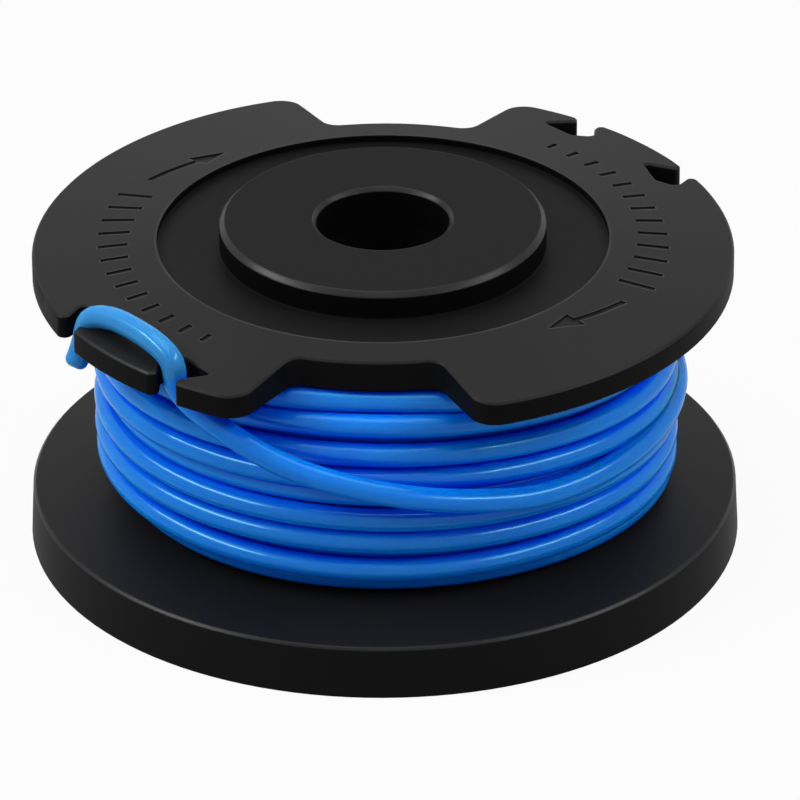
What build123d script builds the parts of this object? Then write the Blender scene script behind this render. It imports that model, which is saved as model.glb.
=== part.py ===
from build123d import *
import os
from math import cos, radians, sin, sqrt, tan

# Trimmer line spool: one moulded spool wound with nylon cutting line.
# Millimetres, +Z up. The origin is the middle of the face that the spool stands on.
# The two rim notches of the upper flange lie on the Y axis.

# Lower flange: a dished plate with a deep rim
BASE_R = 33.25           # rim radius at the floor
BASE_DRAFT = 0.25        # how far the rim leans in from the floor to its top edge
BASE_RIM_H = 5.0
BASE_RISE = 1.2          # rise of the plate from its rim to the drum
BASE_EDGE = 0.25         # chamfer of the rim's top edge
RIM_WALL = 2.2           # skirt of the rim, seen from below

# Drum and upper flange
DRUM_R = 20.0
CHANNEL_H = 21.7         # between the two rims
TOP_R = 32.5             # upper flange rim radius
TOP_RIM_T = 2.2          # thickness at the rim
TOP_RISE = 1.05          # rise of the top face from the rim to the sunk ring
TOP_EDGE = 0.2           # chamfer along the upper flange's outline
RECESS_R = 20.95         # sunk ring around the boss
RECESS_DEPTH = 0.75
BOSS_R = 15.15
BOSS_H = 2.65            # above the sunk ring
BOSS_EDGE = 0.5
BORE_R = 6.15            # spindle bore, right through
BORE_EDGE = 0.4
WALL = 2.1               # moulded wall of plate, drum and roof
HUB_WALL = 2.4           # tube around the bore
HUB_LIFT = 1.2           # the hub ends this far above the floor

# Rim notches: an arc floor and two slanting walls with rounded lobes
NOTCH_FLOOR_R = 24.3
NOTCH_FLOOR_HALF = 15.8  # degrees each side of the Y axis, at the floor
NOTCH_RIM_HALF = 19.4    # and at the rim
NOTCH_ROOT = 1.6
NOTCH_LOBE = 2.4

# Line slots: two pairs, each slot skewed to the radius, with a tapering pocket behind a finger
SLOT_PAIR_AT = 45.0      # degrees, middle of a pair
SLOT_PITCH = 25.0        # degrees between the two slots of a pair
SLOT_SKEW = 32.5         # degrees from the radius
SLOT_W = 2.1
SLOT_DEPTH = 3.9         # from the rim, along the slot
SLOT_ROOT = 0.7
SLOT_LIP = 0.7           # rounding of the slot's corner at the rim
POCKET_REACH = 2.8       # from the slot's wall to the pocket's tip
POCKET_TIP_IN = 1.15     # depth of the tip
POCKET_TIP = 0.35
FINGER_IN = 0.45         # depth of the finger's inner corner
FINGER_OVER = 0.35       # how far the finger reaches over the slot
FINGER_TIP = 0.4

# Drive lugs inside the drum: saw teeth that the head's driver turns the spool by
LUG_COUNT = 8
LUG_REACH = 2.6          # inward from the drum's inner wall
LUG_RAMP = 26.0          # degrees of the sloping flank
LUG_FACE = 3.0           # degrees of the steep flank
LUG_LIFT = 1.0           # above the plate's underside

# Line
LINE_D = 2.2
LINE_SIDES = 6           # flats of its section
TURNS = 7                # turns in the outer layer
WOUND_R = 27.2           # outer radius of the winding at mid height
WOUND_SHOULDER = 2.9     # how far the winding falls in towards its ends
WOUND_ROUND = 4          # power of the shoulder's fall
TURN_BULGE = 0.62        # how far a turn stands out of its neighbours' valley
WOUND_GAP = 0.1          # winding to flange, and strand to winding
STRAND_Z = 16.45         # height of the last turn, which lies over the others
STRAND_LEAVES_AT = -50.0 # degrees, where it leaves the winding
STRAND_TURN = 110.0      # degrees of it that show before it sinks among the others
STRAND_SINK = 1.8        # how far its circle is shifted off the axis

LEAD_OFF = 5.3           # straight run of the free line where it leaves the winding
BEND_SHARE = 0.45        # share of the shorter run that each of its bends takes
SEAT_SIDE = 0.25         # free line to the wall of the slot that it comes up through
SEAT_FLOOR = 0.15        # and to that slot's floor

# Worked out
TOP_UNDER = BASE_RIM_H + CHANNEL_H
RIM_TOP = TOP_UNDER + TOP_RIM_T
RECESS_EDGE = RIM_TOP + TOP_RISE
RECESS_FLOOR = RECESS_EDGE - RECESS_DEPTH
BOSS_TOP = RECESS_FLOOR + BOSS_H
PLATE_TOP = BASE_RIM_H + BASE_RISE
PLATE_UNDER = BASE_RIM_H - WALL
DRUM_IN = DRUM_R - WALL
HUB_R = BORE_R + HUB_WALL
LINE_R = LINE_D / 2
STRAND_R = WOUND_R + WOUND_GAP + LINE_R
ROOF = RECESS_FLOOR - WALL
TOUCH = 0.01             # how close two computed places count as one

# Free line, up along the winding: degrees, out from the last turn, share of the way up to the flange
LEAD_CLIMB = [(-81.5, 0.5, 0.14), (-102.5, 0.5, 0.38), (-117.0, 1.0, 0.66)]
# up through a slot: across the slot, along it, height
SEAT_X = SLOT_W / 2 - LINE_R - SEAT_SIDE
SEAT_Y = LINE_R + SEAT_FLOOR - SLOT_DEPTH
LEAD_UP = [(SEAT_X, SEAT_Y, TOP_UNDER - 1.3), (SEAT_X - 0.1, SEAT_Y + 0.35, RIM_TOP + 0.7)]
# over the tab: share of the slots' pitch from the pair's middle, in from the rim, height
LEAD_OVER = [(0.245, 2.4, RIM_TOP + 1.75), (0.0, 2.8, RIM_TOP + 1.85), (-0.255, 2.55, RIM_TOP + 1.6)]
# and down through the next slot, to the cut end
LEAD_DOWN = [(-0.95, -1.4, RIM_TOP + 1.2), (-0.2, -2.15, TOP_UNDER - 0.7), (0.0, -0.75, TOP_UNDER - 2.0)]


def polar(radius, angle):
    """Point in plan at a radius and an angle in degrees."""
    return radius * cos(radians(angle)), radius * sin(radians(angle))


def rounded_face(corners, plane):
    """Face in a plane from corners (x, y, rounding), with true arcs."""
    with BuildSketch(plane) as face:
        with BuildLine():
            FilletPolyline(*[(x, y) for x, y, _ in corners], radius=[r for _, _, r in corners], close=True)
        make_face()
    return face.sketch


def cut_corners(corners):
    """Points of a closed outline from corners (x, y, cut): a cut takes a corner off with a flat."""
    points = []
    for before, here, after in zip(corners[-1:] + corners[:-1], corners, corners[1:] + corners[:1]):
        corner, cut = Vector(*here[:2]), here[2]
        sides = (before, after) if cut else (before,)
        points += [corner + (Vector(*side[:2]) - corner).normalized() * cut for side in sides]
    return points


def spool_section():
    """Half section of the moulding, as corners (r, z) with the cut at each."""
    corners = [
        (BORE_R, HUB_LIFT, 0),
        (BORE_R, BOSS_TOP, BORE_EDGE),
        (BOSS_R, BOSS_TOP, BOSS_EDGE),
        (BOSS_R, RECESS_FLOOR, 0),
        (RECESS_R, RECESS_FLOOR, 0),
        (RECESS_R, RECESS_EDGE, 0),
        (TOP_R, RIM_TOP, 0),
        (TOP_R, TOP_UNDER, 0),
        (DRUM_R, TOP_UNDER, 0),
        (DRUM_R, PLATE_TOP, 0),
        (BASE_R - BASE_DRAFT, BASE_RIM_H, BASE_EDGE),
        (BASE_R, 0, 0),
        (BASE_R - RIM_WALL, 0, 0),
        (BASE_R - RIM_WALL, PLATE_UNDER, 0),
        (DRUM_IN, PLATE_UNDER, 0),
        (DRUM_IN, ROOF, 0),
        (BOSS_R - WALL, ROOF, 0),
        (BOSS_R - WALL, BOSS_TOP - WALL, 0),
        (HUB_R, BOSS_TOP - WALL, 0),
        (HUB_R, HUB_LIFT, 0),
    ]
    with BuildSketch(Plane.XZ) as section:
        with BuildLine():
            Polyline(*cut_corners(corners), close=True)
        make_face()
    return section.sketch


def notch_plan():
    """Plan of the rim notch on +Y, with walls that run out past the rim."""
    floor = [Vector(*polar(NOTCH_FLOOR_R, 90 + side * NOTCH_FLOOR_HALF)) for side in (1, -1)]
    rim = [Vector(*polar(TOP_R, 90 + side * NOTCH_RIM_HALF)) for side in (1, -1)]
    outside = [2 * high - low for low, high in zip(floor, rim)]
    with BuildSketch() as plan:
        with BuildLine():
            RadiusArc(floor[0], floor[1], NOTCH_FLOOR_R)
            Polyline(floor[1], outside[1], outside[0], floor[0])
        make_face()
        fillet(plan.vertices().sort_by(Axis.Y)[:2], NOTCH_ROOT)
    return plan.sketch


def slot_plan():
    """Plan of one line slot, with +Y out of its mouth and the mouth's middle at the origin."""
    half, outside = SLOT_W / 2, SLOT_DEPTH
    finger = FINGER_OVER - half
    corners = [
        (half, outside, 0),
        (half, -SLOT_DEPTH, SLOT_ROOT),
        (-half, -SLOT_DEPTH, SLOT_ROOT),
        (-half - POCKET_REACH, -POCKET_TIP_IN, POCKET_TIP),
        (finger, -FINGER_IN, FINGER_TIP),
        (finger, outside, 0),
    ]
    return rounded_face(corners, Plane.XY)


def slot_frames():
    """The four slots' own planes: a pair, and the same pair half a turn on."""
    angles = [SLOT_PAIR_AT + turn + side * SLOT_PITCH / 2 for turn in (0, 180) for side in (1, -1)]
    return [Plane(polar(TOP_R, a), x_dir=polar(1, a + SLOT_SKEW - 90)) for a in angles]


def slot_corner(frame, wall):
    """Where a wall of a slot's mouth, at its own x, meets the rim."""
    axis = frame.to_local_coords(Vector(0, 0, 0))
    return frame.from_local_coords(Vector(wall, axis.Y + sqrt(TOP_R**2 - (wall - axis.X) ** 2)))


def round_at(plan, places, rounding):
    """Round the corners of a plan that lie at the given places."""
    corners = [v for v in plan.vertices() if min((Vector(v) - p).length for p in places) < TOUCH]
    return fillet(corners, rounding)


def flange_outline():
    """Outline of the upper flange: a disc less its notches and slots, with rounded corners."""
    outline = Sketch() + Circle(TOP_R)
    turns, sides = (0, 180), (1, -1)
    for turn in turns:
        outline -= Rot(0, 0, turn) * notch_plan()
    for frame in slot_frames():
        outline -= frame * slot_plan()
    lobes = [Vector(*polar(TOP_R, 90 + t + s * NOTCH_RIM_HALF)) for t in turns for s in sides]
    outline = round_at(outline, lobes, NOTCH_LOBE)
    outline = round_at(outline, [slot_corner(f, SLOT_W / 2) for f in slot_frames()], SLOT_LIP)
    return round_at(outline, [slot_corner(f, FINGER_OVER - SLOT_W / 2) for f in slot_frames()], FINGER_TIP)


def drive_lugs():
    """Saw teeth inside the drum, from above the plate's underside up to the roof."""
    root = DRUM_IN + WALL / 2
    plan = Sketch()
    for index in range(LUG_COUNT):
        start = index * 360 / LUG_COUNT
        plan += make_face(
            Polyline(
                polar(root, start),
                polar(DRUM_IN - LUG_REACH, start + LUG_FACE),
                polar(root, start + LUG_FACE + LUG_RAMP),
                close=True,
            )
        )
    foot = PLATE_UNDER + LUG_LIFT
    return Pos(0, 0, foot) * extrude(plan, ROOF - foot)


def spool():
    """The moulding: a turned section, the notched and slotted rim, and the drive lugs."""
    body = revolve(spool_section(), Axis.Z)
    waste = Circle(TOP_R + SLOT_DEPTH) - flange_outline()
    body -= Pos(0, 0, TOP_UNDER - TOP_RIM_T) * extrude(waste, 2 * TOP_RIM_T + TOP_RISE)
    top = body.faces().filter_by(GeomType.CONE).filter_by_position(Axis.Z, RIM_TOP, RECESS_EDGE)[0]
    outline = top.edges().filter_by(lambda edge: edge.bounding_box().max.Z < RECESS_EDGE - TOUCH)
    return chamfer(outline, TOP_EDGE) + drive_lugs()


def turn_crest(index):
    """Outer radius of one turn of the outer layer: the winding is barrelled."""
    across = 2 * (index + 0.5) / TURNS - 1
    return WOUND_R - WOUND_SHOULDER * abs(across) ** WOUND_ROUND


def winding_section():
    """Half section of the wound line: a crest for each turn of the outer layer, with a valley each side."""
    foot, head = PLATE_TOP + WOUND_GAP, TOP_UNDER - WOUND_GAP
    pitch = (head - foot) / TURNS
    crests = [turn_crest(index) for index in range(TURNS)]
    points = [(DRUM_R, head), (DRUM_R, foot), (crests[0] - LINE_R, foot)]
    for index, crest in enumerate(crests):
        level = foot + (index + 0.5) * pitch
        points.append((crest, level))
        if index < TURNS - 1:
            points.append((min(crest, crests[index + 1]) - TURN_BULGE, level + pitch / 2))
    points.append((crests[-1] - LINE_R, head))
    with BuildSketch(Plane.XZ) as section:
        with BuildLine():
            Polyline(*points, close=True)
        make_face()
    return section.sketch


def line_along(path):
    """The line itself, drawn along a path."""
    return sweep(Plane(path @ 0, z_dir=path % 0) * RegularPolygon(LINE_R, LINE_SIDES), path)


def last_turn():
    """The last turn lies over the others: an arc off the axis, which sinks among them at its far end."""
    centre = Vector(*polar(STRAND_SINK, STRAND_LEAVES_AT), STRAND_Z)
    return line_along(CenterArc(centre, STRAND_R - STRAND_SINK, STRAND_LEAVES_AT, STRAND_TURN))


def line_winding():
    """All the wound turns, as one solid."""
    return revolve(winding_section(), Axis.Z) + last_turn()


def bend_radii(route):
    """Radius of each bend of a route, as large as its two runs allow."""
    radii = []
    for before, corner, after in zip(route, route[1:], route[2:]):
        run_in, run_out = corner - before, after - corner
        shorter = min(run_in.length, run_out.length)
        radii.append(BEND_SHARE * shorter / tan(radians(run_in.get_angle(run_out)) / 2))
    return radii


def lead_route():
    """Corners of the free line: off the winding, up a slot, over the tab and down the next slot."""
    start = Vector(*polar(STRAND_R, STRAND_LEAVES_AT), STRAND_Z)
    route = [start, start + Vector(*polar(LEAD_OFF, STRAND_LEAVES_AT - 90))]
    for angle, out, share in LEAD_CLIMB:
        route.append(Vector(*polar(STRAND_R + out, angle), STRAND_Z + share * (TOP_UNDER - STRAND_Z)))
    up, down = slot_frames()[2:]
    route += [up.from_local_coords(Vector(*place)) for place in LEAD_UP]
    for share, inside, height in LEAD_OVER:
        route.append(Vector(*polar(TOP_R - inside, SLOT_PAIR_AT + 180 + share * SLOT_PITCH), height))
    return route + [down.from_local_coords(Vector(*place)) for place in LEAD_DOWN]


def line_lead():
    """The free line, from where it leaves the winding to its cut end."""
    route = lead_route()
    radii = bend_radii(route)
    path = FilletPolyline(*route, radius=radii)
    tube = line_along(path)
    section = RegularPolygon(LINE_R, LINE_SIDES).area
    print("lead: corners", [tuple(round(part, 2) for part in corner) for corner in route])
    print("lead: length", round(path.length, 2), "bends", [round(radius, 1) for radius in radii])
    print("lead: volume over section times length", round(tube.volume / (section * path.length), 5))
    return tube


def main():
    """Write each piece to its own file."""
    os.makedirs("parts", exist_ok=True)
    pieces = {"spool": spool(), "line_winding": line_winding(), "line_lead": line_lead()}
    for name, shape in pieces.items():
        export_step(shape, f"parts/{name}.step")


if __name__ == "__main__":
    main()
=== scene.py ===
"""Trimmer line spool for its portrait: a moulded spool, its marks and one length of nylon line."""

import logging
import math
import random
from collections import Counter
from dataclasses import dataclass
from enum import Enum
from typing import Any, Iterator, Sequence, Union

import bmesh
import bpy
from mathutils import Matrix, Vector


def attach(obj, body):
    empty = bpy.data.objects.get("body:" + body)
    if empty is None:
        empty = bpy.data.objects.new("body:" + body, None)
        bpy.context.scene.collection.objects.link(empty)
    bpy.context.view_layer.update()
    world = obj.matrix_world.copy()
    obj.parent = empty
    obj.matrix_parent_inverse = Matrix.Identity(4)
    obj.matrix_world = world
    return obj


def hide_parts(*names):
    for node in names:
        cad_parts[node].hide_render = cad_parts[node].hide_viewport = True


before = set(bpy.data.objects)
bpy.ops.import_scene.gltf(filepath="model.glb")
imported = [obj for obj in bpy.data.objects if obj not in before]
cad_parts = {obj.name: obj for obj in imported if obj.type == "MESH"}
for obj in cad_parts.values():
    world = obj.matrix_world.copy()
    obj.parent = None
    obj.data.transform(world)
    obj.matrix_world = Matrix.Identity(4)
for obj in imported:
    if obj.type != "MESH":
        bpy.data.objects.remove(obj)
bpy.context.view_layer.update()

log = logging.getLogger("spool")

MM = 0.001
BODY = "root"

WHITE = (1.0, 1.0, 1.0)
BLACK = (0.0, 0.0, 0.0)
FLAT = (1.0, 1.0, 0.0)
NOISE_MEAN = 0.5
QUADRATIC = 3

Span = tuple[float, float]
Triple = tuple[float, float, float]
Corners = list[Span]
Operand = Union["Signal", float, Sequence[float]]


class Wind(Enum):
    """Which way the line is wound, seen from above."""

    CLOCKWISE = -1
    COUNTERCLOCKWISE = 1


class Mark(Enum):
    """What an engraved mark is."""

    TICK = "tick"
    ARROW = "arrow"


class Softbox(Enum):
    """Shape of a studio lamp."""

    SQUARE = "SQUARE"
    STRIP = "RECTANGLE"


def polar(radius: float, angle: float, height: float) -> Vector:
    """Point at a radius, an angle in degrees and a height."""
    turned = math.radians(angle)
    return Vector((radius * math.cos(turned), radius * math.sin(turned), height))


def part_way(first: float, last: float, share: float) -> float:
    """The number that lies a share of the way from one to another."""
    return first + (last - first) * share


def eased(share: float) -> float:
    """A share that starts and stops gently, kept from 0 to 1."""
    kept = min(max(share, 0.0), 1.0)
    return kept * kept * (3 - 2 * kept)


class Signal:
    """One output socket of a node tree, used as a value, colour or vector in expressions."""

    def __init__(self, bench: "NodeBench", socket: bpy.types.NodeSocket) -> None:
        """Keep the socket and the bench that adds nodes after it."""
        self.bench = bench
        self.socket = socket

    def _join(self, operation: str, other: Operand, reflected: bool = False) -> "Signal":
        """Add the node that joins this signal to another operand.

        Args:
            operation: the operation's name, the same for numbers, vectors and colours.
            other: a signal, a number or a constant with several parts.
            reflected: whether the other operand comes first.

        Returns:
            The new node's output.
        """
        first, second = (other, self) if reflected else (self, other)
        kinds = {item.socket.type for item in (first, second) if isinstance(item, Signal)}
        if "RGBA" in kinds:
            settings = {"data_type": "RGBA", "blend_type": operation}
            inputs = {"Factor": 1.0, "A": first, "B": second}
            return self.bench.node("ShaderNodeMix", settings, inputs)
        kind = "ShaderNodeVectorMath" if "VECTOR" in kinds else "ShaderNodeMath"
        return self.bench.node(kind, {"operation": operation}, {0: first, 1: second})

    def __add__(self, other: Operand) -> "Signal":
        """This plus another."""
        return self._join("ADD", other)

    def __radd__(self, other: Operand) -> "Signal":
        """Another plus this."""
        return self._join("ADD", other, True)

    def __sub__(self, other: Operand) -> "Signal":
        """This less another."""
        return self._join("SUBTRACT", other)

    def __rsub__(self, other: Operand) -> "Signal":
        """Another less this."""
        return self._join("SUBTRACT", other, True)

    def __mul__(self, other: Operand) -> "Signal":
        """This times another."""
        return self._join("MULTIPLY", other)

    def __rmul__(self, other: Operand) -> "Signal":
        """Another times this."""
        return self._join("MULTIPLY", other, True)

    def beside(self, output: str) -> "Signal":
        """Another output of the same node."""
        return Signal(self.bench, self.socket.node.outputs[output])

    def length(self) -> "Signal":
        """How long this vector is."""
        return self.bench.node("ShaderNodeVectorMath", {"operation": "LENGTH"}, {0: self}, "Value")

    def between(self, low: float, high: float) -> "Signal":
        """A mask that climbs smoothly from 0 at low to 1 at high.

        Args:
            low: the value below which the mask is 0.
            high: the value above which it is 1.

        Returns:
            The mask.
        """
        return self.bench.node(
            "ShaderNodeMapRange",
            {"interpolation_type": "SMOOTHSTEP"},
            {"Value": self, "From Min": low, "From Max": high, "To Min": 0.0, "To Max": 1.0},
        )

    def mix(self, low: Operand, high: Operand) -> "Signal":
        """The colour that lies between two others by this factor."""
        inputs = {"Factor": self, "A": low, "B": high}
        return self.bench.node("ShaderNodeMix", {"data_type": "RGBA"}, inputs)


class NodeBench:
    """A node tree under construction."""

    def __init__(self, tree: bpy.types.NodeTree) -> None:
        """Start with an empty tree."""
        self.tree = tree
        self.tree.nodes.clear()

    @classmethod
    def material(cls, name: str) -> tuple[bpy.types.Material, "NodeBench"]:
        """Start a material.

        Args:
            name: the material's name.

        Returns:
            The material and the bench for its nodes.
        """
        made = bpy.data.materials.new(name)
        made.use_nodes = True
        return made, cls(made.node_tree)

    def node(
        self,
        kind: str,
        settings: dict[str, Any] | None = None,
        inputs: dict[str | int, Any] | None = None,
        output: str | None = None,
    ) -> Signal | None:
        """Add one node.

        Args:
            kind: the node's type.
            settings: its own settings, set before its sockets.
            inputs: values or links by socket name or number.
            output: name of the output to hand on, the first one in use if not given.

        Returns:
            The chosen output, if the node has any.
        """
        made = self.tree.nodes.new(kind)
        for name, value in (settings or {}).items():
            setattr(made, name, value)
        for name, value in (inputs or {}).items():
            self._feed(self._socket(made.inputs, name), value)
        in_use = [socket for socket in made.outputs if socket.enabled]
        chosen = [socket for socket in in_use if output in (None, socket.name)]
        return Signal(self, chosen[0]) if chosen else None

    @staticmethod
    def _socket(sockets: Any, name: str | int) -> bpy.types.NodeSocket:
        """Find a socket.

        Args:
            sockets: a node's inputs.
            name: the socket's name or number.

        Returns:
            The socket in use of that name, or at that number.
        """
        if isinstance(name, int):
            return sockets[name]
        return next(socket for socket in sockets if socket.name == name and socket.enabled)

    def _feed(self, socket: bpy.types.NodeSocket, value: Any) -> None:
        """Link a signal to a socket, or set a constant on it.

        Args:
            socket: the input.
            value: a signal, or a constant that is spread over the socket's parts.
        """
        if isinstance(value, Signal):
            self.tree.links.new(value.socket, socket)
            return
        if socket.type in ("RGBA", "VECTOR") and isinstance(value, (int, float)):
            value = (value,) * 3
        if socket.type == "RGBA" and len(value) == 3:
            value = (*value, 1.0)
        socket.default_value = value

    def noise(self, place: Signal, scale: float, detail: float) -> Signal:
        """Soft noise over the surface."""
        inputs = {"Vector": place, "Scale": scale, "Detail": detail}
        return self.node("ShaderNodeTexNoise", None, inputs)

    def looked_at(self) -> Signal:
        """Find the rays by which the camera sees a thing, straight, mirrored or through glass.

        Returns:
            Their mask.
        """
        straight = self.node("ShaderNodeLightPath", None, None, "Is Camera Ray")
        mirrored = straight.beside("Is Glossy Ray")
        through = straight.beside("Is Transmission Ray")
        return (straight + mirrored + through).between(0.0, 1.0)

    def close(self, factor: Operand, first: Signal, second: Signal) -> None:
        """Make two mixed shaders the material's surface."""
        mixed = self.node("ShaderNodeMixShader", None, {0: factor, 1: first, 2: second})
        self.node("ShaderNodeOutputMaterial", None, {"Surface": mixed})


@dataclass(frozen=True)
class MouldedPlastic:
    """Black moulding: eroded grain on the flanges, a darker boss, edges rubbed smooth, a painted
    highlight that makes upper edges pale, painted shade that darkens the walls, and a painted
    reflection of the floor that lightens the foot's walls.

    A span says where a mask starts and where it is full. Lengths are in metres. Every upper rim has
    a little polish, and those of the boss, the foot and the tab under the line have it in full.
    """

    colour: Triple = (0.006, 0.006, 0.0062)
    # Colour of the painted highlight along the upper edges.
    painted_highlight_colour: Triple = (0.09, 0.09, 0.092)
    grain: float = 0.22 * MM
    grain_detail: float = 2.0
    grain_depth: float = 0.05 * MM
    grain_strength: float = 0.22
    flow_scale: float = 70.0
    flow_detail: float = 4.0
    edge_round: float = 0.35 * MM
    round_samples: int = 6
    edge_samples: int = 8
    up_face: Span = (0.3, 0.8)
    slope_from: Span = (0.25, 0.45)
    slope_to: Span = (0.9, 0.97)
    boss_reach: Span = (20.95 * MM, 21.1595 * MM)
    boss_level: Span = (27.5 * MM, 28.5 * MM)
    foot_level: Span = (8.0 * MM, 9.0 * MM)
    tab_middle: Triple = (-23.5 * MM, -21.8 * MM, 0.0)
    tab_reach: Span = (6.0 * MM, 7.5 * MM)
    # Strength and masks of the painted edge highlight.
    painted_highlight: float = 0.35
    painted_highlight_edge: Span = (0.08, 0.4)
    painted_highlight_patch: Span = (0.2, 0.6)
    least_tone: float = 0.8
    flow_tone: float = 0.4
    # Painted shade on the walls, and a painted reflection of the floor on the foot's walls.
    wall_shade: float = 0.5
    foot_painted_reflection: float = 0.9
    boss_shade: float = 0.35
    roughness: float = 0.5
    flow_roughness: float = 0.14
    grain_roughness: float = 0.1
    specular: float = 0.03
    coat: float = 0.75
    flow_coat: float = 0.2
    boss_coat_loss: float = 0.75
    coat_roughness: float = 0.48
    coat_ior: float = 1.16
    polish: float = 0.25
    polish_roughness: float = 0.32
    polish_specular: float = 0.16

    def make(self) -> bpy.types.Material:
        """Make the finish.

        Returns:
            The material.
        """
        made, bench = NodeBench.material("black_moulding")
        place = bench.node("ShaderNodeTexCoord", None, None, "Object")
        grain = bench.noise(place, 1 / self.grain, self.grain_detail)
        flow = bench.noise(place, self.flow_scale, self.flow_detail)
        rounded = bench.node(
            "ShaderNodeBevel", {"samples": self.round_samples}, {"Radius": self.edge_round}
        )
        solid = bench.node(
            "ShaderNodeAmbientOcclusion",
            {"inside": True, "only_local": True, "samples": self.edge_samples},
            {"Distance": self.edge_round},
            "AO",
        )
        upright = bench.node("ShaderNodeNewGeometry", None, None, "Normal")
        rise = bench.node("ShaderNodeSeparateXYZ", None, {"Vector": upright}, "Z")
        facing_up = rise.between(*self.up_face)
        wall = 1 - facing_up
        sloped = rise.between(*self.slope_from) * (1 - rise.between(*self.slope_to))

        plan = place * FLAT
        level = bench.node("ShaderNodeSeparateXYZ", None, {"Vector": place}, "Z")
        inside = 1 - plan.length().between(*self.boss_reach)
        boss = inside * level.between(*self.boss_level)
        foot = 1 - level.between(*self.foot_level)
        tab = 1 - (plan - self.tab_middle).length().between(*self.tab_reach)

        # Painted highlight: upper convex edges are coloured pale, in patches, as if they caught the
        # light.
        edge = (1 - solid).between(*self.painted_highlight_edge)
        painted_edge_highlight = self.painted_highlight * edge * flow.between(*self.painted_highlight_patch) * facing_up
        # Painted shade darkens the walls, and a painted reflection of the floor lightens the foot's
        # walls.
        painted_wall_light = 1 - self.wall_shade * wall + self.foot_painted_reflection * wall * foot
        tone_and_painted_wall_light = (self.least_tone + self.flow_tone * flow) * painted_wall_light * (1 - self.boss_shade * boss)
        uneven = flow - NOISE_MEAN
        pitted = self.grain_roughness * (grain - NOISE_MEAN)
        coat = (self.coat + self.flow_coat * uneven) * (1 - self.boss_coat_loss * boss)
        satin = bench.node(
            "ShaderNodeBsdfPrincipled",
            None,
            {
                "Base Color": painted_edge_highlight.mix(tone_and_painted_wall_light.mix(BLACK, self.colour), self.painted_highlight_colour),
                "Roughness": self.roughness + self.flow_roughness * uneven + pitted,
                "Specular IOR Level": self.specular,
                "Coat Weight": coat * facing_up,
                "Coat Roughness": self.coat_roughness,
                "Coat IOR": self.coat_ior,
                "Normal": self._grained(bench, grain, rounded),
            },
        )
        polished = bench.node(
            "ShaderNodeBsdfPrincipled",
            None,
            {
                "Base Color": self.colour,
                "Roughness": self.polish_roughness,
                "Specular IOR Level": self.polish_specular,
                "Normal": rounded,
            },
        )
        rubbed = sloped * (self.polish + boss + foot + tab).between(0.0, 1.0)
        bench.close(rubbed, satin, polished)
        return made

    def _grained(self, bench: NodeBench, grain: Signal, rounded: Signal) -> Signal:
        """Press the grain into the rounded surface.

        Args:
            bench: where the node goes.
            grain: the grain's height.
            rounded: the surface's normal, rounded at its edges.

        Returns:
            The grained normal.
        """
        return bench.node(
            "ShaderNodeBump",
            None,
            {
                "Strength": self.grain_strength,
                "Distance": self.grain_depth,
                "Height": grain,
                "Normal": rounded,
            },
        )


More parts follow.
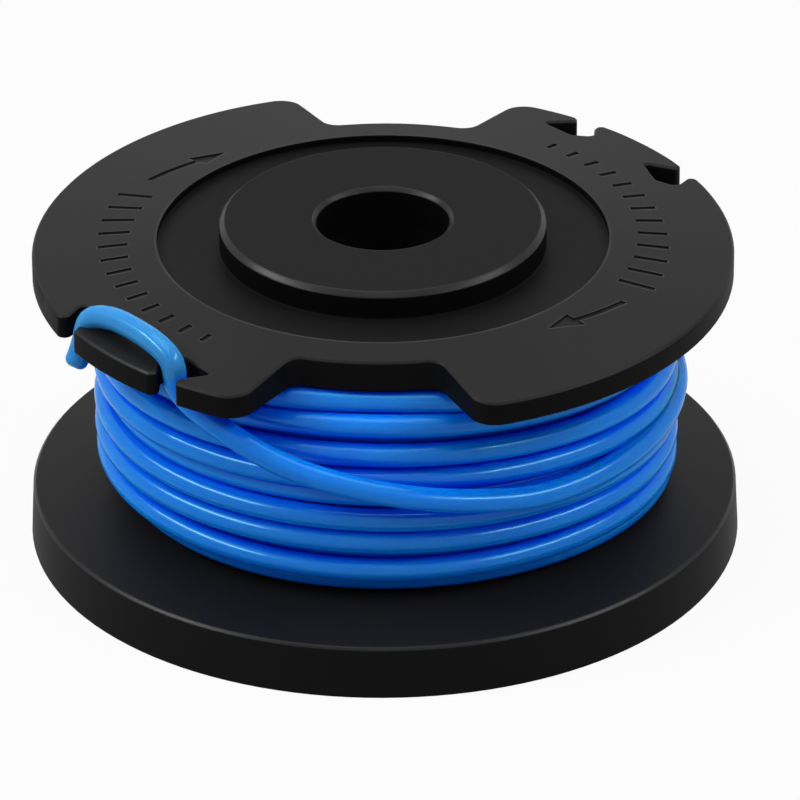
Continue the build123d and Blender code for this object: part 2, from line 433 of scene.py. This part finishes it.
@dataclass(frozen=True)
class DrawnNylon:
    """Blue nylon line: clear, glossy, streaked along the draw, and a deeper blue where turns lie
    close, which is painted shade.

    A span says where a mask starts and where it is full. Lengths are in metres. The draw is how
    far a radian round the spool counts among the streaks, and the gap how far away another turn
    still casts painted shade that deepens the blue. The held end, above and outside the flange, is
    paler.
    """

    colour: Triple = (0.002, 0.185, 0.66)
    # Painted shade: the deeper blue where other turns or the flange close the line in.
    deep_painted_shade_colour: Triple = (0.0005, 0.085, 0.92)
    held_colour: Triple = (0.022, 0.2, 0.46)
    held_level: Span = (28.0 * MM, 29.0 * MM)
    held_reach: Span = (30.9 * MM, 31.9 * MM)
    streak: float = 0.5 * MM
    streak_detail: float = 3.0
    streak_depth: float = 0.04 * MM
    streak_strength: float = 0.1
    draw: float = 0.8 * MM
    cloud_scale: float = 90.0
    cloud_detail: float = 2.0
    gap: float = 5.0 * MM
    gap_samples: int = 6
    cloud_tint: float = 0.4
    streak_tint: float = 0.3
    tint_loss: float = 0.35
    tint: Span = (0.1, 0.9)
    roughness: float = 0.2
    streak_roughness: float = 0.1
    specular: float = 0.06
    scatter: float = 2.2 * MM
    scatter_colour: Triple = (0.03, 0.25, 1.0)
    skin: float = 0.03
    skin_colour: Triple = (0.35, 0.88, 1.0)

    def make(self) -> bpy.types.Material:
        """Make the finish.

        Returns:
            The material.
        """
        made, bench = NodeBench.material("blue_nylon")
        place = bench.node("ShaderNodeTexCoord", None, None, "Object")
        ahead = bench.node("ShaderNodeSeparateXYZ", None, {"Vector": place}, "X")
        across, level = ahead.beside("Y"), ahead.beside("Z")
        reach = (place * FLAT).length()
        turn = bench.node("ShaderNodeMath", {"operation": "ARCTAN2"}, {0: across, 1: ahead})
        drawn = bench.node(
            "ShaderNodeCombineXYZ", None, {"X": reach, "Y": level, "Z": turn * self.draw}
        )
        streak = bench.noise(drawn, 1 / self.streak, self.streak_detail)
        cloud = bench.noise(place, self.cloud_scale, self.cloud_detail)
        # Painted shade: ambient occlusion from nearby turns and the flange paints the blue deeper.
        painted_shade_ao = bench.node(
            "ShaderNodeAmbientOcclusion",
            {"samples": self.gap_samples},
            {"Distance": self.gap},
            "AO",
        )
        tone_and_painted_shade = self.cloud_tint * cloud + self.streak_tint * streak + painted_shade_ao - self.tint_loss
        wound = tone_and_painted_shade.between(*self.tint).mix(self.deep_painted_shade_colour, self.colour)
        above, outside = level.between(*self.held_level), reach.between(*self.held_reach)
        held = (above + outside).between(0.0, 1.0)
        roughness = self.roughness + self.streak_roughness * (streak - NOISE_MEAN)
        streaked = bench.node(
            "ShaderNodeBump",
            None,
            {"Strength": self.streak_strength, "Distance": self.streak_depth, "Height": streak},
        )
        body = bench.node(
            "ShaderNodeBsdfPrincipled",
            None,
            {
                "Base Color": held.mix(wound, self.held_colour),
                "Roughness": roughness,
                "Specular IOR Level": self.specular,
                "Specular Tint": self.skin_colour,
                "Subsurface Weight": 1.0,
                "Subsurface Radius": self.scatter_colour,
                "Subsurface Scale": self.scatter,
                "Normal": streaked,
            },
        )
        skin = bench.node(
            "ShaderNodeBsdfAnisotropic",
            None,
            {"Color": self.skin_colour, "Roughness": roughness, "Normal": streaked},
        )
        bench.close(self.skin, body, skin)
        return made


@dataclass(frozen=True)
class PaleGround:
    """Plain white floor that keeps only a light shadow."""

    shade: float = 0.4
    clear: float = 0.94

    def make(self) -> bpy.types.Material:
        """Make the finish.

        Returns:
            The material.
        """
        made, bench = NodeBench.material("pale_ground")
        diffuse = bench.node("ShaderNodeBsdfDiffuse", None, {"Color": self.shade})
        white = bench.node("ShaderNodeEmission", None, {"Color": WHITE, "Strength": 1.0})
        bench.close(bench.looked_at() * self.clear, diffuse, white)
        return made


@dataclass(frozen=True)
class Pass:
    """A turn as it passes the front.

    At its sides it stands out by the bulge and lies further to +X by the shift. The climb is its
    rise in one turn, where it has a steady one.
    """

    radius: float
    height: float
    bulge: float
    shift: float
    climb: float | None = None

    def towards(self, other: "Pass", share: float, crossing: Span) -> "Pass":
        """The turn on its way to the next one.

        Two turns with a climb keep it past the front and cross over at the back. Others go evenly.

        Args:
            other: the next turn.
            share: of the way round, from 0 to 1.
            crossing: the shares of the way round at which the crossing starts and ends.

        Returns:
            The place on the way.
        """
        height = part_way(self.height, other.height, share)
        if self.climb is not None and other.climb is not None:
            leaving = self.height + self.climb * share
            arriving = other.height - other.climb * (1 - share)
            crossed = eased((share - crossing[0]) / (crossing[1] - crossing[0]))
            height = part_way(leaving, arriving, crossed)
        return Pass(
            part_way(self.radius, other.radius, share),
            height,
            part_way(self.bulge, other.bulge, share),
            part_way(self.shift, other.shift, share),
        )


@dataclass(frozen=True)
class WoundLayer:
    """One layer of turns, with the height of each as it passes the front, in the order wound.

    The radius is that of the turns' middles, and falls in by up to the fall at the layer's ends.
    """

    radius: float
    fall: float
    bulge: float
    shift: float
    heights: tuple[float, ...]
    climb: float | None = None

    @classmethod
    def even(
        cls, radius: float, fall: float, bulge: float, first: float, last: float, turns: int
    ) -> "WoundLayer":
        """A layer of evenly spaced turns.

        Args:
            radius: of the turns' middles, at mid height.
            fall: how far the radius falls in at the layer's ends.
            bulge: how far the turns stand out at the sides.
            first: height of the first turn.
            last: height of the last turn.
            turns: how many there are.

        Returns:
            The layer.
        """
        step = (last - first) / (turns - 1)
        heights = tuple(first + step * index for index in range(turns))
        return cls(radius, fall, bulge, 0.0, heights)

    def passes(self, middle: float, half: float, shoulder: int) -> Iterator[Pass]:
        """Each turn as it passes the front.

        Args:
            middle: the winding's middle height.
            half: half of its height.
            shoulder: power by which the radius falls in towards the ends.

        Returns:
            The turns, in the order wound.
        """
        for height in self.heights:
            fallen = self.fall * abs((height - middle) / half) ** shoulder
            yield Pass(self.radius - fallen, height, self.bulge, self.shift, self.climb)


@dataclass
class CuttingLine:
    """One length of nylon line: layers of turns, a last turn over them, and the held free end.

    Sizes are in millimetres and degrees. Turns sway by the wobble, and at the sides they lean down,
    the more the higher they lie above the lean's foot. The last turn's points are angle, radius and
    height, and the free end's route follows the part's own corners.
    """

    diameter: float = 2.2
    length: float = 4600.0
    front: float = -86.0
    wind: Wind = Wind.CLOCKWISE
    points_per_turn: int = 24
    middle: float = 15.0
    half: float = 9.0
    shoulder: int = 4
    crossing: Span = (0.3, 0.7)
    wobble: float = 0.12
    seed: int = 41
    lean: float = 0.09
    lean_foot: float = 7.0
    steps: int = 4
    roundness: int = 5
    blunting: float = 0.7
    blunt_steps: int = 4
    blunt_profile: float = 0.5
    layers: tuple[WoundLayer, ...] = (
        WoundLayer.even(21.1, 0.0, 0.0, 25.4, 7.5, 9),
        WoundLayer.even(22.4, 0.1, 0.3, 7.8, 25.0, 8),
        WoundLayer(23.5, 0.5, 1.0, 0.2, (24.4, 22.0, 19.4), 2.6),
        WoundLayer(24.3, 0.0, 1.0, 0.2, (16.1,), 2.6),
        WoundLayer(23.5, 0.5, 1.0, 0.2, (12.9, 10.1), 2.6),
        WoundLayer(23.9, 0.0, 1.3, 1.3, (7.3,), 1.6),
        WoundLayer(25.2, 0.6, 1.05, 0.25, (8.7, 11.7, 14.0, 18.2, 20.6, 23.45, 25.35)),
    )
    last_turn: tuple[Triple, ...] = (
        (-101.0, 24.3, 25.4),
        (-116.0, 24.7, 25.4),
        (-131.0, 25.2, 25.3),
        (-146.0, 25.8, 25.1),
        (-161.0, 26.4, 24.7),
        (-176.0, 26.9, 24.1),
        (-190.0, 27.2, 23.2),
        (-203.0, 27.4, 22.2),
        (-216.0, 27.5, 21.1),
        (-229.0, 27.5, 20.0),
        (-242.0, 27.5, 18.9),
        (-255.0, 27.5, 17.9),
        (-268.0, 27.5, 17.0),
        (-281.0, 27.5, 16.3),
        (-294.0, 27.5, 15.8),
        (-307.0, 27.5, 15.55),
        (-320.0, 27.5, 15.45),
        (-333.0, 27.5, 15.45),
        (-346.0, 27.45, 15.45),
        (-359.0, 27.45, 15.45),
        (-372.0, 27.45, 15.4),
        (-385.0, 27.5, 15.35),
        (-398.0, 27.5, 15.3),
    )
    route: tuple[Triple, ...] = (
        (17.70, -21.10, 15.30),
        (13.50, -24.38, 15.85),
        (4.18, -27.99, 17.65),
        (-6.25, -28.21, 20.25),
        (-12.60, -26.75, 23.50),
        (-17.16, -24.80, 26.50),
        (-17.06, -25.13, 29.60),
        (-18.80, -23.55, 30.65),
        (-20.90, -21.15, 30.70),
        (-23.20, -18.60, 30.50),
        (-25.75, -16.75, 29.65),
        (-26.30, -15.75, 26.20),
        (-27.15, -16.80, 24.35),
    )

    def spread(self) -> float:
        """How much wider a turn's control points lie than the quadratic curve that they make."""
        near, far = 3 / 4, 1 / 4
        return 1 / (near + far * math.cos(2 * math.pi / self.points_per_turn))

    def wound(self) -> Iterator[Vector]:
        """Go along the layers' turns, from the drum outwards.

        Returns:
            The control points of each turn but the last.
        """
        seeded = random.Random(self.seed)
        sizes = self.middle, self.half, self.shoulder
        passes = [turn for layer in self.layers for turn in layer.passes(*sizes)]
        for one, two in zip(passes, passes[1:]):
            phase = seeded.uniform(0, 2 * math.pi)
            for index in range(self.points_per_turn):
                share = index / self.points_per_turn
                turned = 2 * math.pi * share
                here = one.towards(two, share, self.crossing)
                aside = math.sin(turned) ** 2
                sway = self.wobble * math.sin(turned) * math.sin(2 * turned + phase)
                leant = self.lean * aside * (here.height - self.lean_foot)
                radius = (here.radius + here.bulge * aside) * self.spread()
                angle = self.front + self.wind.value * 360 * share
                around = polar(radius, angle, here.height + sway - leant)
                yield around + Vector((here.shift * aside, 0.0, 0.0))

    def control_points(self) -> list[Vector]:
        """Go along the whole line.

        Returns:
            Its control points, in metres.
        """
        points = list(self.wound())
        points += [polar(radius, angle, height) for angle, radius, height in self.last_turn]
        points += [Vector(corner) for corner in self.route]
        return [point * MM for point in points]

    def spline(self) -> bpy.types.Object:
        """Draw the line's middle.

        Returns:
            A smooth curve, with no thickness yet.
        """
        data = bpy.data.curves.new("line_middle", "CURVE")
        data.dimensions = "3D"
        data.resolution_u = self.steps
        points = self.control_points()
        spline = data.splines.new("NURBS")
        spline.points.add(len(points) - 1)
        for target, point in zip(spline.points, points):
            target.co = (*point, 1.0)
        spline.order_u = QUADRATIC
        spline.use_endpoint_u = True
        return bpy.data.objects.new("line_middle", data)

    def build(self) -> bpy.types.Object:
        """Draw the line as one round tube, which stands for the wound and the free line.

        Returns:
            The tube.
        """
        guide = self.spline()
        middle = bpy.data.meshes.new_from_object(guide)
        path = [vertex.co.copy() for vertex in middle.vertices]
        guide.data.bevel_depth = self.diameter / 2 * MM
        guide.data.bevel_resolution = self.roundness
        tube = bpy.data.meshes.new_from_object(guide)
        bpy.data.objects.remove(guide)
        self.blunt(tube)
        line = bpy.data.objects.new("cutting_line", tube)
        bpy.context.scene.collection.objects.link(line)
        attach(line, BODY)
        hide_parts("line_winding", "line_lead")
        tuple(path[0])
        return line

    def blunt(self, tube: bpy.types.Mesh) -> None:
        """Close the line's two cut ends, with rounded rims.

        Args:
            tube: the line's mesh, still open at its ends.
        """
        shape = bmesh.new()
        shape.from_mesh(tube)
        open_rims = [edge for edge in shape.edges if edge.is_boundary]
        ends = bmesh.ops.holes_fill(shape, edges=open_rims, sides=0)["faces"]
        bmesh.ops.bevel(
            shape,
            geom=[edge for face in ends for edge in face.edges],
            offset=self.blunting * MM,
            segments=self.blunt_steps,
            profile=self.blunt_profile,
            affect="EDGES",
        )
        for face in shape.faces:
            face.smooth = True
        shape.to_mesh(tube)
        shape.free()

    def dress(self, line: bpy.types.Object, finish: DrawnNylon) -> None:
        """Give the line its finish."""
        line.data.materials.append(finish.make())


@dataclass
class WindingMarks:
    """Engraved marks that show which way to wind: ticks that grow towards an arrow, on two sides.

    Sizes are in millimetres and degrees, on the upper flange's shallow cone. Corners are radius
    and angle.
    """

    rim: float = 32.5
    rim_top: float = 28.9
    slope: float = 1.05 / 11.55
    depth: float = 0.18
    clear: float = 1.0
    sides: Span = (0.0, 180.0)
    ticks: int = 13
    tick_angles: Span = (54.0, -18.0)
    tick_radius: float = 25.0
    tick_width: float = 0.55
    tick_lengths: Span = (1.3, 3.5)
    arrow_from: float = -26.0
    arrow_neck: float = -39.0
    arrow_tip: float = -46.5
    arrow_radii: Span = (25.3, 23.9)
    arrow_width: float = 0.6
    arrow_steps: int = 6
    head_width: float = 2.3
    tip_inset: float = 0.5

    def surface(self, radius: float) -> float:
        """Height of the flange's top face at a radius."""
        return self.rim_top + (self.rim - radius) * self.slope

    def tick_plan(self, index: int) -> Corners:
        """Draw one tick.

        Args:
            index: its place in the row.

        Returns:
            Its corners in order.
        """
        share = index / (self.ticks - 1)
        angle = part_way(*self.tick_angles, share)
        half = part_way(*self.tick_lengths, share) / 2
        corners = []
        for end, side in ((-half, 1), (half, 1), (half, -1), (-half, -1)):
            radius = self.tick_radius + end
            corners.append((radius, angle + side * math.degrees(self.tick_width / 2 / radius)))
        return corners

    def arrow_plan(self) -> Corners:
        """Draw the arrow.

        Returns:
            Its corners in order.
        """
        shaft = []
        for index in range(self.arrow_steps + 1):
            share = index / self.arrow_steps
            angle = part_way(self.arrow_from, self.arrow_neck, share)
            shaft.append((part_way(*self.arrow_radii, share), angle))
        half, barb, last = self.arrow_width / 2, self.head_width / 2, self.arrow_radii[1]
        outer = [(radius + half, angle) for radius, angle in shaft]
        inner = [(radius - half, angle) for radius, angle in reversed(shaft)]
        head = [
            (last + barb, self.arrow_neck),
            (last - self.tip_inset, self.arrow_tip),
            (last - barb, self.arrow_neck),
        ]
        return outer + head + inner

    def plans(self) -> Iterator[tuple[Mark, Corners]]:
        """Draw every mark.

        Returns:
            Each mark's kind and corners.
        """
        for side in self.sides:
            drawn = [(Mark.TICK, self.tick_plan(index)) for index in range(self.ticks)]
            for kind, corners in drawn + [(Mark.ARROW, self.arrow_plan())]:
                yield kind, [(radius, angle + side) for radius, angle in corners]

    def raise_cutter(self, shape: bmesh.types.BMesh, corners: Corners) -> None:
        """Add one mark's cutter, from the mark's floor to clear above the flange.

        Args:
            shape: the mesh that it joins.
            corners: the mark's corners in order.
        """
        floor, lid = (
            [shape.verts.new(polar(r, a, self.surface(r) + lift) * MM) for r, a in corners]
            for lift in (-self.depth, self.clear)
        )
        shape.faces.new(floor)
        shape.faces.new(lid)
        for index, corner in enumerate(floor):
            before = index - 1
            shape.faces.new((floor[before], corner, lid[index], lid[before]))

    def build(self) -> bpy.types.Object:
        """Make the marks as solid cutters, which don't show themselves.

        Returns:
            The cutters, as one object.
        """
        marks = list(self.plans())
        shape = bmesh.new()
        for _, corners in marks:
            self.raise_cutter(shape, corners)
        bmesh.ops.recalc_face_normals(shape, faces=shape.faces)
        mesh = bpy.data.meshes.new("mark_cutters")
        shape.to_mesh(mesh)
        shape.free()
        cutters = bpy.data.objects.new("mark_cutters", mesh)
        cutters.hide_render = True
        bpy.context.scene.collection.objects.link(cutters)
        log.info("winding marks: %s", dict(Counter(kind.value for kind, _ in marks)))
        return cutters


@dataclass
class SpoolMoulding:
    """The moulded spool from the frame, with its marks cut in.

    The crease is the angle in degrees from which an edge stays sharp. The weld is in millimetres.
    """

    crease: float = 30.0
    weld: float = 0.001

    def build(self, cutters: bpy.types.Object) -> bpy.types.Object:
        """Cut the marks and keep the edges crisp, without touching the mesh itself.

        Args:
            cutters: the solids to take away.

        Returns:
            The spool.
        """
        tree = bpy.data.node_groups.new("engraved_marks", "GeometryNodeTree")
        bench = NodeBench(tree)
        for way in ("INPUT", "OUTPUT"):
            tree.interface.new_socket("Geometry", in_out=way, socket_type="NodeSocketGeometry")
        given = bench.node("NodeGroupInput")
        joined = bench.node(
            "GeometryNodeMergeByDistance", None, {"Geometry": given, "Distance": self.weld * MM}
        )
        tools = bench.node("GeometryNodeObjectInfo", None, {"Object": cutters}, "Geometry")
        cut = bench.node(
            "GeometryNodeMeshBoolean",
            {"operation": "DIFFERENCE", "solver": "EXACT"},
            {"Mesh 1": joined, "Mesh 2": tools},
        )
        angle = bench.node("GeometryNodeInputMeshEdgeAngle", None, None, "Unsigned Angle")
        sharp = bench.node(
            "FunctionNodeCompare",
            {"operation": "GREATER_THAN"},
            {"A": angle, "B": math.radians(self.crease)},
        )
        shaded = bench.node(
            "GeometryNodeSetMeshNormal",
            {"mode": "SHARPNESS"},
            {"Mesh": cut, "Remove Custom": True, "Edge Sharpness": sharp},
        )
        bench.node("NodeGroupOutput", None, {"Geometry": shaded})
        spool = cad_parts["spool"]
        spool.modifiers.new("engraved_marks", "NODES").node_group = tree
        return spool

    def dress(self, spool: bpy.types.Object, finish: MouldedPlastic) -> None:
        """Give the moulding its finish."""
        spool.data.materials.clear()
        spool.data.materials.append(finish.make())


@dataclass(frozen=True)
class Lamp:
    """One soft studio lamp, aimed at the spool. Sizes and places are in metres."""

    name: str
    shape: Softbox
    size: Span
    place: Triple
    power: float

    def build(self, target: Triple) -> None:
        """Set up the lamp.

        Args:
            target: the point it faces.
        """
        data = bpy.data.lights.new(self.name, "AREA")
        data.shape = self.shape.value
        data.size, data.size_y = self.size
        data.energy = self.power
        lamp = bpy.data.objects.new(self.name, data)
        lamp.location = self.place
        aim = Vector(target) - Vector(self.place)
        lamp.rotation_euler = aim.to_track_quat("-Z", "Y").to_euler()
        bpy.context.scene.collection.objects.link(lamp)


@dataclass
class Studio:
    """Camera, lamps and ground.

    Lengths are in metres, the sensor's width in millimetres and angles in degrees.
    """

    middle: Triple = (0.0, 0.0, 28.9 * MM)
    elevation: float = 27.22
    azimuth: float = 4.0
    roll: float = -0.41
    distance: float = 0.7066
    focal_px: float = 7631.4
    image_px: float = 800.0
    offset_px: Span = (15.9, -154.0)
    sensor: float = 36.0
    nearest: float = 0.05
    lit: Triple = (0.0, 0.0, 15.0 * MM)
    ambient: float = 0.25
    ground_half: float = 3.0
    lamps: tuple[Lamp, ...] = (
        Lamp("overhead", Softbox.SQUARE, (0.5, 0.5), (-0.03, 0.02, 0.55), 2.0),
        Lamp("left_bar", Softbox.STRIP, (0.5, 0.06), (-0.44, -0.12, 0.4), 2.7),
        Lamp("right_bar", Softbox.STRIP, (0.5, 0.06), (0.44, -0.12, 0.4), 1.9),
    )

    def camera(self) -> None:
        """Set up the camera at the photograph's own viewpoint."""
        tilt, swing, lean = map(math.radians, (self.elevation, self.azimuth, self.roll))
        right = Vector((math.cos(swing), math.sin(swing), 0.0))
        away = Vector((math.sin(swing), -math.cos(swing), 0.0))
        sight = away * math.cos(tilt) + Vector((0.0, 0.0, math.sin(tilt)))
        up = sight.cross(right)
        aside, above = self.offset_px
        back = (sight * self.focal_px - right * aside - up * above).normalized()
        upward = back.cross(math.cos(lean) * right + math.sin(lean) * up).normalized()
        across = upward.cross(back)
        data = bpy.data.cameras.new("camera")
        data.sensor_width = self.sensor
        data.lens = self.sensor * self.focal_px / self.image_px
        data.clip_start = self.nearest
        camera = bpy.data.objects.new("camera", data)
        place = Matrix.Translation(Vector(self.middle) + sight * self.distance)
        camera.matrix_world = place @ Matrix((across, upward, back)).transposed().to_4x4()
        bpy.context.scene.collection.objects.link(camera)
        bpy.context.scene.camera = camera

    def light(self) -> None:
        """Set up the lamps, and a dim even surround that the camera sees as white."""
        for lamp in self.lamps:
            lamp.build(self.lit)
        world = bpy.data.worlds.new("surround")
        bpy.context.scene.world = world
        world.use_nodes = True
        bench = NodeBench(world.node_tree)
        strength = self.ambient + (1 - self.ambient) * bench.looked_at()
        inputs = {"Color": WHITE, "Strength": strength}
        surround = bench.node("ShaderNodeBackground", None, inputs)
        bench.node("ShaderNodeOutputWorld", None, {"Surface": surround})

    def ground(self, finish: PaleGround) -> None:
        """Lay a plain floor under the spool.

        Args:
            finish: the floor's finish.
        """
        shape = bmesh.new()
        bmesh.ops.create_grid(shape, x_segments=1, y_segments=1, size=self.ground_half)
        mesh = bpy.data.meshes.new("ground")
        shape.to_mesh(mesh)
        shape.free()
        mesh.materials.append(finish.make())
        floor = bpy.data.objects.new("ground", mesh)
        bpy.context.scene.collection.objects.link(floor)


def main() -> None:
    """Build the studio and the part, piece by piece."""
    logging.basicConfig(level=logging.INFO, format="%(name)s: %(message)s")
    bpy.context.scene.view_settings.view_transform = "Standard"
    studio = Studio()
    studio.camera()
    line = CuttingLine()
    tube = line.build()
    line.dress(tube, DrawnNylon())
    log.info("%s: %d faces", tube.name, len(tube.data.polygons))
    moulding = SpoolMoulding()
    spool = moulding.build(WindingMarks().build())
    moulding.dress(spool, MouldedPlastic())
    log.info("%s: %d faces before its marks", spool.name, len(spool.data.polygons))
    studio.ground(PaleGround())
    studio.light()


if __name__ == "__main__":
    main()
